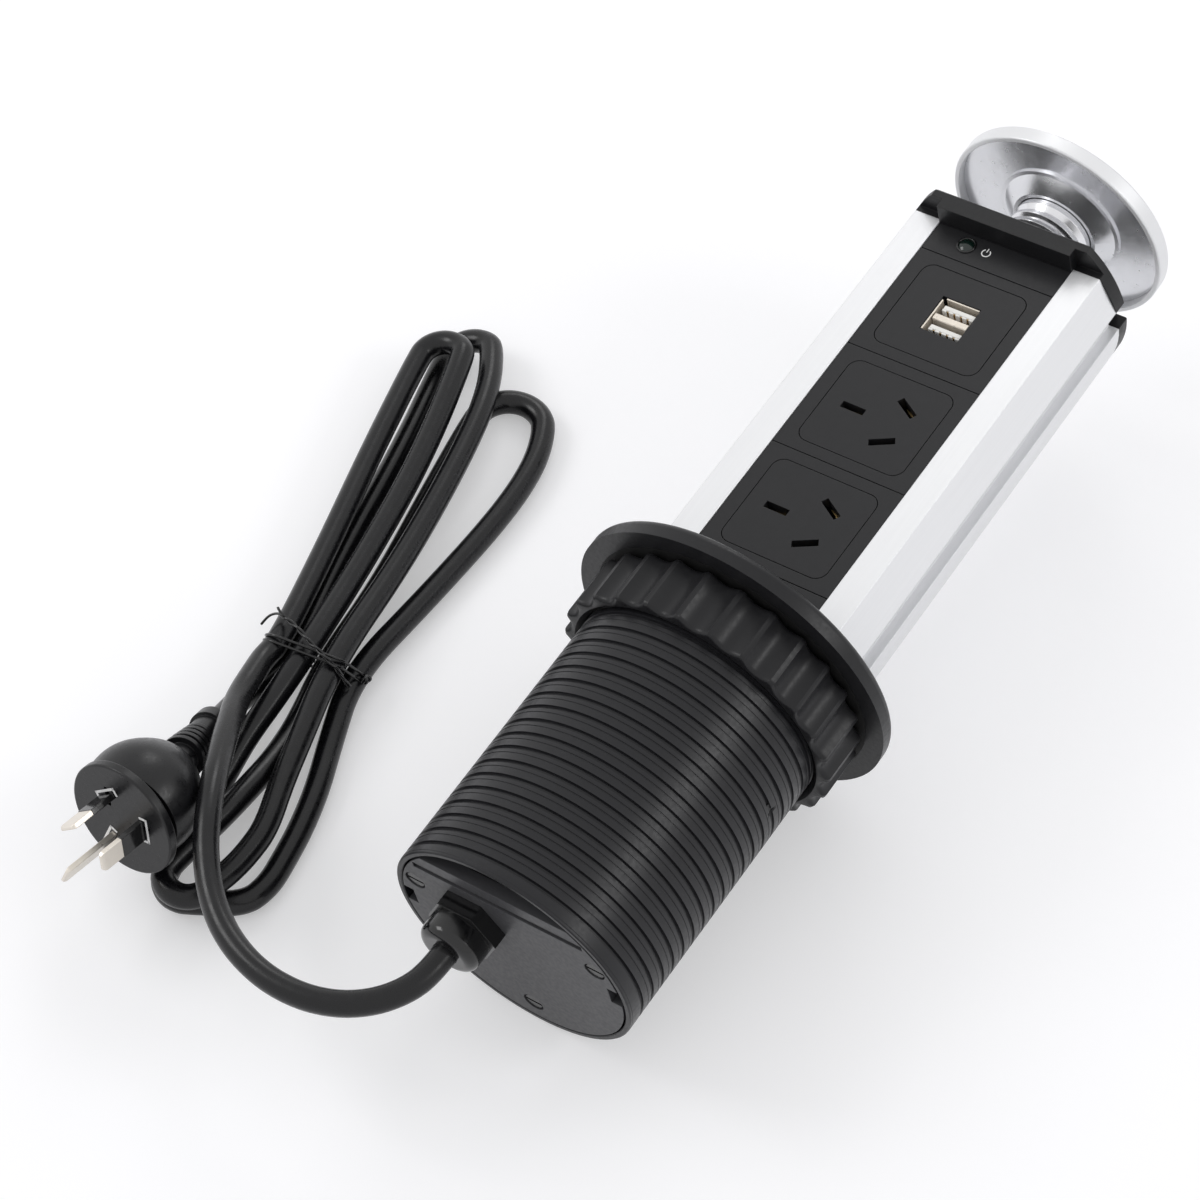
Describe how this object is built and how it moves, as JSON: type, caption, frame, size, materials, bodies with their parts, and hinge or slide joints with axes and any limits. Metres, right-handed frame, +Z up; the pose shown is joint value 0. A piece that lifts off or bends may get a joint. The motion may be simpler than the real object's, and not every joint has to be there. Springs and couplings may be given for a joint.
{
  "type": "pop up desk socket",
  "caption": "Pop up desk socket: a sliding tower with two Australian outlets and two USB ports in a threaded sleeve, with a clamp nut, cord and plug, lying down.",
  "frame": {"origin": "bottom centre of the object's box without its cord, on the table that it lies on", "axes": "+X along the object towards its lift cap, +Z up from the table; the outlets look up"},
  "size_m": [0.3446, 0.2152, 0.1092],
  "materials": {
    "anodised": "satin anodised, near white",
    "black_plastic": "matte black mouldings",
    "gloss_black": "glossy black mouldings",
    "cap_silver": "satin, whitish silver",
    "chrome": "bright chrome",
    "dish_grey": "glossy metallic grey",
    "lens": "dark green, clear",
    "board": "green circuit board",
    "shell_metal": "nickel plated stamping",
    "white_plastic": "white moulding",
    "gold": "gold plated contact",
    "brass": "plain brass",
    "housing": "grey insulating moulding",
    "live_core": "brown insulation",
    "neutral_core": "light blue insulation",
    "earth_core": "green and yellow insulation",
    "cord_black": "satin black sheath",
    "plug_black": "satin black moulding",
    "steel": "zinc plated screw",
    "pin_metal": "nickel plated pin",
    "seal": "black seal"
  },
  "bodies": {
    "tower": {"tower_extrusion": "anodised", "indicator_strip": "black_plastic", "indicator_lens": "lens", "indicator_board": "board", "usb_frame": "black_plastic", "usb_insert": "black_plastic", "usb_shell": "shell_metal", "usb_tongues": "white_plastic", "usb_contacts": "gold", "usb_charger_board": "board", "upper_outlet_frame": "black_plastic", "upper_outlet_insert": "black_plastic", "upper_outlet_housing": "housing", "upper_outlet_contacts": "brass", "lower_outlet_frame": "black_plastic", "lower_outlet_insert": "black_plastic", "lower_outlet_housing": "housing", "lower_outlet_contacts": "brass", "live_bar": "brass", "neutral_bar": "brass", "earth_bar": "brass", "live_wire": "live_core", "neutral_wire": "neutral_core", "earth_wire": "earth_core", "lower_panel": "black_plastic", "end_cap": "black_plastic", "end_cap_screws": "steel", "cap_neck": "chrome", "lift_cap": "cap_silver", "lift_cap_dish": "dish_grey", "base_plate": "black_plastic", "base_screws": "steel", "gland_body": "gloss_black", "gland_dome_nut": "gloss_black", "gland_seal": "seal", "gland_locknut": "gloss_black", "cord_sheath_end": "cord_black", "cord_lead": "cord_black", "cord_hank": "cord_black", "hank_tie": "gloss_black", "plug_body": "plug_black", "plug_strain_relief": "plug_black", "plug_pins": "pin_metal", "plug_pin_sleeves": "gloss_black"},
    "sleeve": {"threaded_sleeve": "black_plastic", "flange_collar": "black_plastic", "flange_gasket": "seal", "guide_pegs": "black_plastic"},
    "nut": {"clamp_nut": "black_plastic"}
  },
  "joints": [
    {"name": "tower_slide", "type": "slide", "parent": "tower", "child": "sleeve", "axis": [0.9936, 0, 0.1126], "range_m": [0, 0.175]},
    {"name": "nut_travel", "type": "slide", "parent": "sleeve", "child": "nut", "axis": [-0.9936, 0, -0.1126], "range_m": [0, 0.035]}
  ]
}
